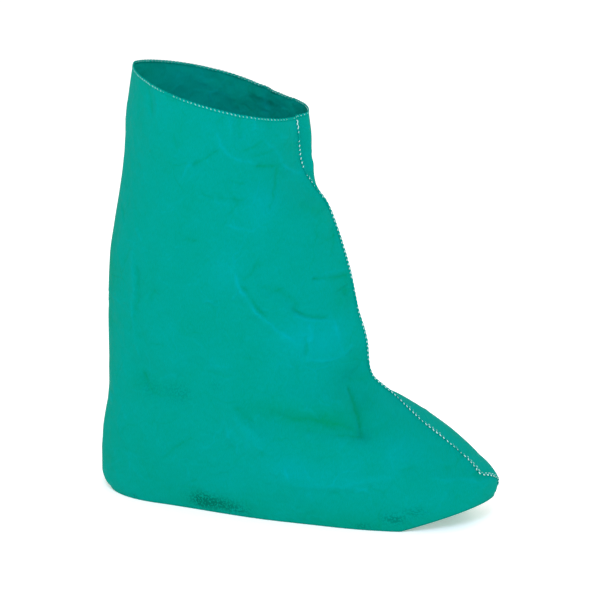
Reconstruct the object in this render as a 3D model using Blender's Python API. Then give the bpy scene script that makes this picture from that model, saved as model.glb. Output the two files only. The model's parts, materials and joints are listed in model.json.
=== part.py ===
"""Disposable boot cover: a sewn cloth leg and foot standing empty on its sole.

Metres, +Z up, toe towards +X, wearer's left towards +Y. The origin is under the middle of the cover.
The form is a stack of level cuts given in SECTIONS. The front seam and the collar edge follow the same form.
"""
import bpy
import numpy as np

MM = 0.001

# Driving sizes, in millimetres
CLOTH = 1.0             # wall of the upper, two layers of cloth where it is turned in
SOLE_THICK = 1.2        # sole panel
GAP = 0.3               # clearance between sewn pieces
COLLAR_HEIGHT = 418.0   # section height of the collar, half way along it
COLLAR_DROP = 22.5      # the rim falls this far from its middle to its front, and rises as far to its back
SLOPE_START = 300.0     # section height where the collar's slope begins
BALL_X = 124.0          # fold across the ball, where the toe leaves the floor
TOE_X = 204.0           # front of the sole
TOE_SPRING = 26.2       # rise of the sole at TOE_X
BASE_FADE = 60.0        # section height where the toe spring has died away
SEAM_HEIGHT = 3.6       # how far the front seam stands out
SEAM_HALF = 1.3         # half its thickness at the root
SEAM_FOOT = 14.0        # section height where the seam ends under the toe
EDGE_HALF = 1.4         # half thickness of the sewn collar edge
EDGE_HEIGHT = 3.2       # its height

# Level cuts through the cover, from the sole edge to the collar, in millimetres.
# back, front: X of the back fold and of the front crest
# heel_half, ball_half: half widths of the back and front parts
# heel_run, toe_run: lengths over which the two ends close round
# edge, crease: 0 where the front and the back are round, 1 where the seam or the fold makes a sharp edge
# seam_turn: degrees from the crest to the seam, negative towards the wearer's right
SECTION_COLUMNS = ("height", "back", "front", "heel_half", "ball_half",
                   "heel_run", "toe_run", "edge", "crease", "seam_turn")
SECTIONS = (
    (0, -203, 204, 52, 67, 68, 148, 0.00, 0.00, 0),
    (6, -209, 206, 53, 68, 72, 150, 0.00, 0.00, 0),
    (16, -212, 207, 54, 69, 76, 150, 0.00, 0.00, 3),
    (26, -212, 207, 55, 69, 80, 150, 0.00, 0.00, 2),
    (38, -212, 204, 55, 68, 82, 146, 0.00, 0.00, -4),
    (50, -211, 198, 56, 68, 84, 142, 0.00, 0.00, -13),
    (62, -210, 188, 57, 67, 86, 138, 0.00, 0.00, -12),
    (80, -207, 167, 57, 66, 90, 132, 0.00, 0.00, -13),
    (96, -204, 144, 57, 64, 94, 126, 0.05, 0.00, -14),
    (112, -203, 116, 57, 62, 97, 122, 0.10, 0.05, -9),
    (126, -203, 89, 57, 60, 100, 120, 0.20, 0.05, 0),
    (138, -203, 75, 57, 58, 102, 118, 0.30, 0.10, 0),
    (150, -203, 71, 58, 58, 104, 118, 0.35, 0.10, 0),
    (172, -203, 69, 59, 58, 106, 118, 0.40, 0.10, 0),
    (207, -202, 59, 61, 60, 106, 116, 0.40, 0.10, 0),
    (244, -200, 51, 63, 62, 106, 114, 0.35, 0.15, 0),
    (280, -194, 40, 66, 65, 102, 108, 0.30, 0.15, 0),
    (312, -188, 27, 68, 68, 98, 102, 0.20, 0.20, 0),
    (332, -184, 14, 69, 69, 96, 96, 0.15, 0.20, 0),
    (352, -181, 5, 70, 70, 94, 92, 0.10, 0.25, -2),
    (372, -180, 1, 71, 71, 92, 88, 0.05, 0.30, -3),
    (395, -176, 0, 72, 72, 88, 86, 0.00, 0.30, -4),
    (421, -171, -3, 72, 72, 84, 84, 0.00, 0.30, -5),
)

# Main folds of the worn cloth, as soft troughs (depth below 0) and ridges, each along a straight line.
# side: -1 the wearer's right, +1 the left; x and z of the two ends; reach: half width; depth: outwards
FOLD_COLUMNS = ("side", "x0", "z0", "x1", "z1", "reach", "depth")
FOLDS = (
    (-1, 60, 135, 85, 100, 12, -5.0),
    (-1, -5, 105, 80, 100, 13, -4.0),
    (-1, -50, 110, 15, 45, 16, 3.5),
    (-1, 15, 40, 120, 60, 13, 2.0),
    (-1, -55, 270, 15, 180, 17, 3.0),
    (-1, 0, 340, 20, 325, 12, -3.0),
    (-1, 20, 310, 35, 300, 14, 2.5),
    (-1, -150, 140, -100, 120, 15, -3.0),
    (1, 60, 145, 80, 95, 13, -4.5),
    (1, -15, 110, 70, 100, 14, -3.5),
    (1, -50, 110, 20, 45, 16, 2.5),
    (1, -60, 260, 20, 205, 18, 3.0),
    (1, -10, 405, 5, 350, 18, 10.0),
    (1, -150, 150, -100, 125, 15, -2.5),
)
SIDE_BLEND = 12.0       # a fold reaches its full depth this far from the middle plane

# Where the plan widens from heel to ball, as shares of each section's length
WIDEN_FROM = 0.1
WIDEN_OVER = 0.4

# Rows and columns of the faceted upper, with the section heights where the row spacing changes
FOOT_ROWS, INSTEP_ROWS, SHAFT_ROWS = 8, 13, 15
FOOT_TOP = 44.0
SHAFT_FROM = 156.0
COLUMNS = 64
SOLE_STRIPS = 6


def smooth(t):
    """Rise from 0 to 1 with level ends."""
    t = np.clip(t, 0.0, 1.0)
    return t * t * (3.0 - 2.0 * t)


def through(rows, height, column):
    """Monotone cubic curve through one column of SECTIONS, at the given section heights."""
    xs, ys = rows[:, 0], rows[:, column]
    step = np.diff(xs)
    slope = np.diff(ys) / step
    same = slope[:-1] * slope[1:] > 0.0
    total = np.where(same, slope[:-1] + slope[1:], 1.0)
    tangent = np.zeros(len(ys))
    tangent[1:-1] = np.where(same, 2.0 * slope[:-1] * slope[1:] / total, 0.0)
    tangent[0], tangent[-1] = slope[0], slope[-1]
    i = np.clip(np.searchsorted(xs, height) - 1, 0, len(xs) - 2)
    t = (height - xs[i]) / step[i]
    rise = t * t * (3.0 - 2.0 * t)
    return (ys[i] + (ys[i + 1] - ys[i]) * rise
            + (t ** 3 - 2.0 * t ** 2 + t) * step[i] * tangent[i]
            + (t ** 3 - t ** 2) * step[i] * tangent[i + 1])


def section(height):
    """All columns of SECTIONS at the given heights, by name."""
    rows = np.array(SECTIONS, dtype=float)
    return {name: through(rows, height, k) for k, name in enumerate(SECTION_COLUMNS)}


def sole_line(x):
    """Height of the sole's underside: flat from the heel to the ball, then a straight toe spring."""
    return TOE_SPRING * np.clip((x - BALL_X) / (TOE_X - BALL_X), 0.0, None)


def smooth_form(height, angle):
    """Outer face without folds. Angle 0 is the front crest, pi the back, positive towards +Y."""
    cut = section(height)
    half = (cut["front"] - cut["back"]) / 2.0
    middle = (cut["front"] + cut["back"]) / 2.0
    x = middle + half * np.cos(angle)
    along = (x - cut["back"]) / (2.0 * half)
    widened = smooth((along - WIDEN_FROM) / WIDEN_OVER)
    width = cut["heel_half"] + (cut["ball_half"] - cut["heel_half"]) * widened
    toe = np.clip((x - cut["front"]) / cut["toe_run"] + 1.0, 0.0, 1.0)
    heel = np.clip((cut["back"] - x) / cut["heel_run"] + 1.0, 0.0, 1.0)
    y = width * np.sign(np.sin(angle))
    y = y * (1.0 - toe ** 2) ** (0.5 + 0.5 * cut["edge"]) * (1.0 - heel ** 2) ** (0.5 + 0.5 * cut["crease"])
    slope = smooth((height - SLOPE_START) / (COLLAR_HEIGHT - SLOPE_START))
    z = (SOLE_THICK + GAP + height
         + sole_line(x) * np.clip(1.0 - height / BASE_FADE, 0.0, 1.0)
         - COLLAR_DROP * np.cos(angle) * slope)
    return np.stack([x, y, z], axis=-1)


def normals(grid):
    """Outward normals of a closed grid of rows by columns, from its neighbours."""
    around = np.roll(grid, -1, axis=1) - np.roll(grid, 1, axis=1)
    up = np.gradient(grid, axis=0)
    out = np.cross(around, up)
    return out / np.linalg.norm(out, axis=-1, keepdims=True)


def fold_depth(grid):
    """How far each point moves outwards for the folds of FOLDS, by its distance in side view."""
    moved = np.zeros(grid.shape[:2])
    for row in FOLDS:
        fold = dict(zip(FOLD_COLUMNS, row))
        start = np.array([fold["x0"], fold["z0"]], dtype=float)
        run = np.array([fold["x1"], fold["z1"]], dtype=float) - start
        here = grid[..., [0, 2]] - start
        t = np.clip((here @ run) / (run @ run), 0.0, 1.0)
        away = np.linalg.norm(here - t[..., None] * run, axis=-1)
        on_side = smooth(fold["side"] * grid[..., 1] / SIDE_BLEND)
        moved += fold["depth"] * np.exp(-(away / fold["reach"]) ** 2) * on_side
    return moved


def upper_rows():
    """Section heights of the rows: close at the sole edge, wider up the shaft."""
    foot = FOOT_TOP * np.linspace(0.0, 1.0, FOOT_ROWS, endpoint=False) ** 1.3
    instep = np.linspace(FOOT_TOP, SHAFT_FROM, INSTEP_ROWS, endpoint=False)
    shaft = np.linspace(SHAFT_FROM, COLLAR_HEIGHT, SHAFT_ROWS)
    return np.concatenate([foot, instep, shaft])


def upper_form(rows, angles):
    """Outer face with its folds, and its outward normals."""
    height, angle = np.meshgrid(rows, angles, indexing="ij")
    plain = smooth_form(height, angle)
    outer = plain + normals(plain) * fold_depth(plain)[..., None]
    return outer, normals(outer)


def material(name, colour, roughness):
    made = bpy.data.materials.new(name)
    made.use_nodes = True
    shader = made.node_tree.nodes["Principled BSDF"]
    shader.inputs["Base Color"].default_value = (*colour, 1.0)
    shader.inputs["Roughness"].default_value = roughness
    return made


def make_object(name, points, faces, look):
    """One named mesh object from points in millimetres."""
    mesh = bpy.data.meshes.new(name)
    mesh.from_pydata((np.asarray(points) * MM).tolist(), [], faces)
    mesh.update()
    mesh.materials.append(look)
    made = bpy.data.objects.new(name, mesh)
    bpy.context.scene.collection.objects.link(made)
    return made


def tube_faces(rows, ring, closed):
    """Quads between successive rings of points, joined end to end or capped flat at both ends."""
    faces = []
    for i in range(rows if closed else rows - 1):
        for j in range(ring):
            k = (j + 1) % ring
            n = (i + 1) % rows
            faces.append((i * ring + j, i * ring + k, n * ring + k, n * ring + j))
    if not closed:
        faces.append(tuple(reversed(range(ring))))
        faces.append(tuple(range((rows - 1) * ring, rows * ring)))
    return faces


def make_upper(look, outer, out):
    """Hollow wall, open at the collar and under the foot: outer rows, then inner rows back down."""
    inner = outer - CLOTH * out
    inner[0, :, 2] = outer[0, :, 2]
    inner[-1, :, 2] = outer[-1, :, 2]
    points = np.concatenate([outer, inner[::-1]])
    return make_object("upper", points.reshape(-1, 3), tube_faces(len(points), COLUMNS, True), look)


def make_sole(look):
    """Sole panel under the upper's lower edge: strips across the foot from the heel's tip to the toe's."""
    cut = section(np.array(0.0))
    back, front = float(cut["back"]), float(cut["front"])
    bend = np.arccos((2.0 * BALL_X - front - back) / (front - back))
    turns = np.linspace(0.0, np.pi, COLUMNS // 2 + 1)[1:-1]
    turns[np.argmin(np.abs(turns - bend))] = bend
    edge = smooth_form(np.zeros(len(turns)), turns)[::-1]
    edge[np.argmin(np.abs(edge[:, 0] - BALL_X)), 0] = BALL_X
    across = np.linspace(-1.0, 1.0, SOLE_STRIPS + 1)
    wide, long = len(across), len(edge)
    x = np.repeat(edge[:, 0], wide)
    y = (edge[:, 1:2] * across).ravel()
    plan = np.column_stack([np.append(x, [back, front]), np.append(y, [0.0, 0.0])])
    under = np.column_stack([plan, sole_line(plan[:, 0])])
    over = under + np.array([0.0, 0.0, SOLE_THICK])
    heel_tip, toe_tip, count, last = wide * long, wide * long + 1, wide * long + 2, wide * (long - 1)
    panel = [(i * wide + j, (i + 1) * wide + j, (i + 1) * wide + j + 1, i * wide + j + 1)
             for i in range(long - 1) for j in range(SOLE_STRIPS)]
    panel += [(heel_tip, j, j + 1) for j in range(SOLE_STRIPS)]
    panel += [(toe_tip, last + j + 1, last + j) for j in range(SOLE_STRIPS)]
    right_edge = list(range(0, last + 1, wide))
    left_edge = list(range(last + wide - 1, 0, -wide))
    rim = [heel_tip] + right_edge + [toe_tip] + left_edge
    faces = [tuple(k + count for k in face) for face in panel]
    faces += [tuple(reversed(face)) for face in panel]
    faces += [(a, b, b + count, a + count) for a, b in zip(rim, rim[1:] + rim[:1])]
    return make_object("sole", np.concatenate([under, over]), faces, look)


def make_front_seam(look, rows):
    """Sewn fin along the front: a rounded strip on the form's own normal, from the collar to the toe."""
    rows = np.concatenate([[SEAM_FOOT], rows[rows > SEAM_FOOT + 2.0][:-1], [COLLAR_HEIGHT - 1.0]])
    turn = np.radians(section(rows)["seam_turn"])
    nudge = np.radians(1.5)
    strip = np.stack([smooth_form(rows, turn + d) for d in (-nudge, 0.0, nudge)], axis=1)
    centre = strip[:, 1]
    up = np.gradient(centre, axis=0)
    across = strip[:, 2] - strip[:, 0]
    across -= up * (np.sum(across * up, axis=1) / np.sum(up * up, axis=1))[:, None]
    across /= np.linalg.norm(across, axis=1, keepdims=True)
    out = np.cross(across, up)
    out /= np.linalg.norm(out, axis=1, keepdims=True)
    profile = np.array([(1.0, 0.0), (-1.0, 0.0), (-0.9, 0.6), (-0.5, 1.0), (0.5, 1.0), (0.9, 0.6)])
    side = SEAM_HALF * profile[:, 0]
    reach = GAP + 0.1 + SEAM_HEIGHT * profile[:, 1]
    points = centre[:, None] + side[None, :, None] * across[:, None] + reach[None, :, None] * out[:, None]
    return make_object("front_seam", points.reshape(-1, 3), tube_faces(len(rows), len(profile), False), look)


def make_collar_edge(look, outer, out):
    """Rolled, sewn edge standing just above the rim all the way round."""
    level = out[-1] * np.array([1.0, 1.0, 0.0])
    level /= np.linalg.norm(level, axis=1, keepdims=True)
    middle = outer[-1] - 0.5 * CLOTH * level
    profile = np.array([(-0.6, 0.0), (-1.0, 0.35), (-1.0, 0.7), (-0.5, 1.0),
                        (0.5, 1.0), (1.0, 0.7), (1.0, 0.35), (0.6, 0.0)])
    points = middle[:, None] + EDGE_HALF * profile[None, :, :1] * level[:, None]
    points[..., 2] += GAP + EDGE_HEIGHT * profile[None, :, 1]
    return make_object("collar_edge", points.reshape(-1, 3), tube_faces(COLUMNS, len(profile), True), look)


def main():
    for old in list(bpy.data.objects):
        bpy.data.objects.remove(old)
    teal = (0.0, 0.36, 0.30)
    rows = upper_rows()
    angles = np.linspace(-np.pi, np.pi, COLUMNS, endpoint=False)
    outer, out = upper_form(rows, angles)
    make_upper(material("upper_cloth", teal, 0.85), outer, out)
    make_sole(material("sole_cloth", (0.0, 0.33, 0.28), 0.9))
    make_front_seam(material("seam_cloth", (0.02, 0.40, 0.35), 0.85), rows)
    make_collar_edge(material("edge_thread", (0.55, 0.75, 0.72), 0.8), outer, out)


main()
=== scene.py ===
# %% [markdown]
# # Disposable boot cover
#
# This lesson dresses a imported CAD part in Blender. The part is a cover of thin nonwoven cloth that is pulled
# over a work boot. A maker cuts two boot-shaped panels that share a fold up the back, sews them together
# along the front with an overlock stitch on the outside, overlocks the collar, and closes the foot with a
# flat cloth sole. The CAD solids carry the form. Here each solid gets a finer cloth surface in its place.
#
# The frame comes first, so that every later piece can be placed by the same numbers as the solids.

# %% Load the frame
import json

import bmesh
import bpy
import numpy as np
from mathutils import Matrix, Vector

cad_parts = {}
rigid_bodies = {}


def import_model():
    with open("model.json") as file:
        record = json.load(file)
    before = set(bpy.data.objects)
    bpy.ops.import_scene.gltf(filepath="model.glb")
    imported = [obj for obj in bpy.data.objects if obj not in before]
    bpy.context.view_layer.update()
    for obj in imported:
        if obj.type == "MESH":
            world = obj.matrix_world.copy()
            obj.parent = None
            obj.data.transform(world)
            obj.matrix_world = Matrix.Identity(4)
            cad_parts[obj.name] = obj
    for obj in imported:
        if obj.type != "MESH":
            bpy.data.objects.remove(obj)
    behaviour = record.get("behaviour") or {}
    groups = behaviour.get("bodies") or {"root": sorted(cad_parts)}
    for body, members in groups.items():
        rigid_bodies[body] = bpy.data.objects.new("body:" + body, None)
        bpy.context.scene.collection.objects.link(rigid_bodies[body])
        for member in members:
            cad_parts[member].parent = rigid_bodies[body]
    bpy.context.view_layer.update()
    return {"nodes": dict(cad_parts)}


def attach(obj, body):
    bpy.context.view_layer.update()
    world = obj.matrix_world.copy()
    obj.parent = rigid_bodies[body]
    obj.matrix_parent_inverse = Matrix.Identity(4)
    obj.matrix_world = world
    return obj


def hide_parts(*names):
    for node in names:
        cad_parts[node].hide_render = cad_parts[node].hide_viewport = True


for old in list(bpy.data.objects):
    bpy.data.objects.remove(old)
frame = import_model()
MM = 0.001
print("solids:", sorted(frame["nodes"]))

# %% [markdown]
# ## Camera
#
# The picture looks at the wearer's right side, a little from the front and a little from above. Uprights
# stay nearly parallel in it, which means a long lens some way off. A camera can be aimed with a constraint,
# but a location and a rotation worked out from two angles are easier to check and to repeat.

# %% Camera
VIEW_TURN = np.radians(17.5)
VIEW_RISE = np.radians(15.5)
VIEW_DISTANCE = 2.6
VIEW_WIDTH = 0.60
VIEW_CENTRE = Vector((0.0015, 0.0, 0.212))

lens = bpy.data.cameras.new("long_lens")
lens.sensor_width = 36.0
lens.lens = lens.sensor_width * VIEW_DISTANCE / VIEW_WIDTH
camera = bpy.data.objects.new("camera", lens)
bpy.context.scene.collection.objects.link(camera)
towards_camera = Vector((
    np.sin(VIEW_TURN) * np.cos(VIEW_RISE),
    -np.cos(VIEW_TURN) * np.cos(VIEW_RISE),
    np.sin(VIEW_RISE),
))
camera.location = VIEW_CENTRE + VIEW_DISTANCE * towards_camera
camera.rotation_mode = "QUATERNION"
camera.rotation_quaternion = (-towards_camera).to_track_quat("-Z", "Y")
bpy.context.scene.camera = camera
print("lens in mm:", round(lens.lens, 1))

# %% [markdown]
# ## The form of the cover
#
# The cover is a stack of level cuts, from the sole edge up to the collar. Each cut is a long ring with a
# round heel and a round toe, and a short table gives its sizes. A smooth curve runs through each column of
# the table, so the ring at any height can be worked out. This is the form of the solids, in millimetres.
# Sculpting by hand could give the same shape, but a formula can be asked for any point, which the seam, the
# thread and the cloth's own grid all need.

# %% Sizes of the cover
CLOTH = 0.7
SOLE_THICK = 1.2
GAP = 0.3
COLLAR_HEIGHT = 418.0
COLLAR_DROP = 22.5
SLOPE_START = 300.0
BALL_X = 124.0
TOE_X = 204.0
TOE_SPRING = 26.2
BASE_FADE = 60.0
WIDEN_FROM = 0.1
WIDEN_OVER = 0.4

# back, front: X of the back fold and the front crest; heel_half, ball_half: half widths of back and front
# heel_run, toe_run: lengths over which the ends close round
# edge, crease: 0 for a round front and back, 1 for a sharp edge; seam_turn: degrees from crest to seam
SECTION_COLUMNS = ("height", "back", "front", "heel_half", "ball_half",
                   "heel_run", "toe_run", "edge", "crease", "seam_turn")
SECTIONS = np.array((
    (0, -203, 204, 52, 67, 68, 148, 0.00, 0.00, 0),
    (6, -209, 206, 53, 68, 72, 150, 0.00, 0.00, 0),
    (16, -212, 207, 54, 69, 76, 150, 0.00, 0.00, 3),
    (26, -212, 207, 55, 69, 80, 150, 0.00, 0.00, 2),
    (38, -212, 204, 55, 68, 82, 146, 0.00, 0.00, -4),
    (50, -211, 198, 56, 68, 84, 142, 0.00, 0.00, -13),
    (62, -210, 188, 57, 67, 86, 138, 0.00, 0.00, -12),
    (80, -207, 167, 57, 66, 90, 132, 0.00, 0.00, -13),
    (96, -204, 144, 57, 64, 94, 126, 0.05, 0.00, -14),
    (112, -203, 116, 57, 62, 97, 122, 0.10, 0.05, -9),
    (126, -203, 89, 57, 60, 100, 120, 0.20, 0.05, 0),
    (138, -203, 75, 57, 58, 102, 118, 0.30, 0.10, 0),
    (150, -203, 71, 58, 58, 104, 118, 0.35, 0.10, 0),
    (172, -203, 69, 59, 58, 106, 118, 0.40, 0.10, 0),
    (207, -202, 59, 61, 60, 106, 116, 0.40, 0.10, 0),
    (244, -200, 51, 63, 62, 106, 114, 0.35, 0.15, 0),
    (280, -194, 40, 66, 65, 102, 108, 0.30, 0.15, 0),
    (312, -188, 27, 68, 68, 98, 102, 0.20, 0.20, 0),
    (332, -184, 14, 69, 69, 96, 96, 0.15, 0.20, 0),
    (352, -181, 5, 70, 70, 94, 92, 0.10, 0.25, -2),
    (372, -180, 1, 71, 71, 92, 88, 0.05, 0.30, -3),
    (395, -176, 0, 72, 72, 88, 86, 0.00, 0.30, -4),
    (421, -171, -3, 72, 72, 84, 84, 0.00, 0.30, -5),
), dtype=float)
print("level cuts:", len(SECTIONS))


# %% A smooth curve through each column
def smooth(t):
    """Rise from 0 to 1 with level ends: 3 t squared less 2 t cubed."""
    t = np.clip(t, 0.0, 1.0)
    return t * t * (3.0 - 2.0 * t)


def through(height, column):
    """Cubic pieces through one column, with slopes that never overshoot: the harmonic mean of both sides."""
    xs, ys = SECTIONS[:, 0], SECTIONS[:, column]
    step = np.diff(xs)
    slope = np.diff(ys) / step
    same = slope[:-1] * slope[1:] > 0.0
    total = np.where(same, slope[:-1] + slope[1:], 1.0)
    tangent = np.concatenate([
        slope[:1],
        np.where(same, 2.0 * slope[:-1] * slope[1:] / total, 0.0),
        slope[-1:],
    ])
    i = np.clip(np.searchsorted(xs, height) - 1, 0, len(xs) - 2)
    t = (height - xs[i]) / step[i]
    return (ys[i] + (ys[i + 1] - ys[i]) * t * t * (3.0 - 2.0 * t)
            + (t ** 3 - 2.0 * t ** 2 + t) * step[i] * tangent[i]
            + (t ** 3 - t ** 2) * step[i] * tangent[i + 1])


def section(height):
    """Every column of the table at the given heights, by name."""
    return {name: through(height, k) for k, name in enumerate(SECTION_COLUMNS)}


def seam_angle(height):
    """Angle from the front crest to the front seam at the given heights."""
    return np.radians(through(height, SECTION_COLUMNS.index("seam_turn")))


# %% The form as a function of height and angle
def sole_line(x):
    """Height of the underside: flat from the heel to the ball, then a straight toe spring."""
    return TOE_SPRING * np.clip((x - BALL_X) / (TOE_X - BALL_X), 0.0, None)


def form(height, angle):
    """Ring of one level cut. Angle 0 is the front crest, pi the back fold, and positive goes by the left.

    X runs from front to back as a cosine. The half width is the heel's, blended into the ball's, and shrinks
    to nothing over the runs at both ends: as a circle does, or faster where the end is a sharp edge.
    """
    cut = section(height)
    half = (cut["front"] - cut["back"]) / 2.0
    x = (cut["front"] + cut["back"]) / 2.0 + half * np.cos(angle)
    widened = smooth(((x - cut["back"]) / (2.0 * half) - WIDEN_FROM) / WIDEN_OVER)
    width = cut["heel_half"] + (cut["ball_half"] - cut["heel_half"]) * widened
    toe = np.clip((x - cut["front"]) / cut["toe_run"] + 1.0, 0.0, 1.0)
    heel = np.clip((cut["back"] - x) / cut["heel_run"] + 1.0, 0.0, 1.0)
    y = (width * np.sign(np.sin(angle))
         * (1.0 - toe ** 2) ** (0.5 + 0.5 * cut["edge"])
         * (1.0 - heel ** 2) ** (0.5 + 0.5 * cut["crease"]))
    slope = smooth((height - SLOPE_START) / (COLLAR_HEIGHT - SLOPE_START))
    z = (SOLE_THICK + GAP + height
         + sole_line(x) * np.clip(1.0 - height / BASE_FADE, 0.0, 1.0)
         - COLLAR_DROP * np.cos(angle) * slope)
    return np.stack([x, y, z], axis=-1)


def unit(vectors):
    """The same directions, one long."""
    return vectors / np.linalg.norm(vectors, axis=-1, keepdims=True)


def outward(surface, height, angle):
    """Outward direction of a surface: its small step round, crossed with its small step up."""
    turn, rise = 0.01, 0.5
    around = surface(height, angle + turn) - surface(height, angle - turn)
    up = surface(height + rise, angle) - surface(height - rise, angle)
    return unit(np.cross(around, up))


def length_along(points):
    """Length of a line of points up to each of them, from 0."""
    return np.concatenate([[0.0], np.cumsum(np.linalg.norm(np.diff(points, axis=0), axis=1))])


girth_angles = np.linspace(0.0, 2.0 * np.pi, 721)
for probe in (0.0, 40.0, 150.0, 300.0, 420.0):
    ring = form(np.full_like(girth_angles, probe), girth_angles)
    print("girth at", probe, "mm:", round(length_along(ring)[-1]))

# %% [markdown]
# ## Creases of worn cloth
#
# Nonwoven cloth creases like soft paper: broad soft folds where the boot bends at the ankle, and thin crisp
# lines between flat facets. A cloth simulation would put creases where chance does. These have their own
# places, so each one is a line on the side of the cover, with a lift outwards (or inwards below 0) that
# dies away over a reach to its left and to its right. Power 2 makes a soft trough, power 1 a crisp crest.
# Each row is written in the cover's own X and Z, and a few bends are enough for a line.

# %% Broad folds, which the solids have too
# side: -1 the wearer's right, 1 the left; x and z of both ends; reach: half width; lift: outwards
FOLDS = (
    (-1, 60, 135, 85, 100, 12, -5.0),
    (-1, -5, 105, 80, 100, 13, -4.0),
    (-1, -50, 110, 15, 45, 16, 3.5),
    (-1, 15, 40, 120, 60, 13, 2.0),
    (-1, -55, 270, 15, 180, 17, 3.0),
    (-1, 0, 340, 20, 325, 12, -3.0),
    (-1, 20, 310, 35, 300, 14, 2.5),
    (-1, -150, 140, -100, 120, 15, -3.0),
    (1, 60, 145, 80, 95, 13, -4.5),
    (1, -15, 110, 70, 100, 14, -3.5),
    (1, -50, 110, 20, 45, 16, 2.5),
    (1, -60, 260, 20, 205, 18, 3.0),
    (1, -10, 405, 5, 350, 18, 10.0),
    (1, -150, 150, -100, 125, 15, -2.5),
)
FOLD_BLEND = 12.0

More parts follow.
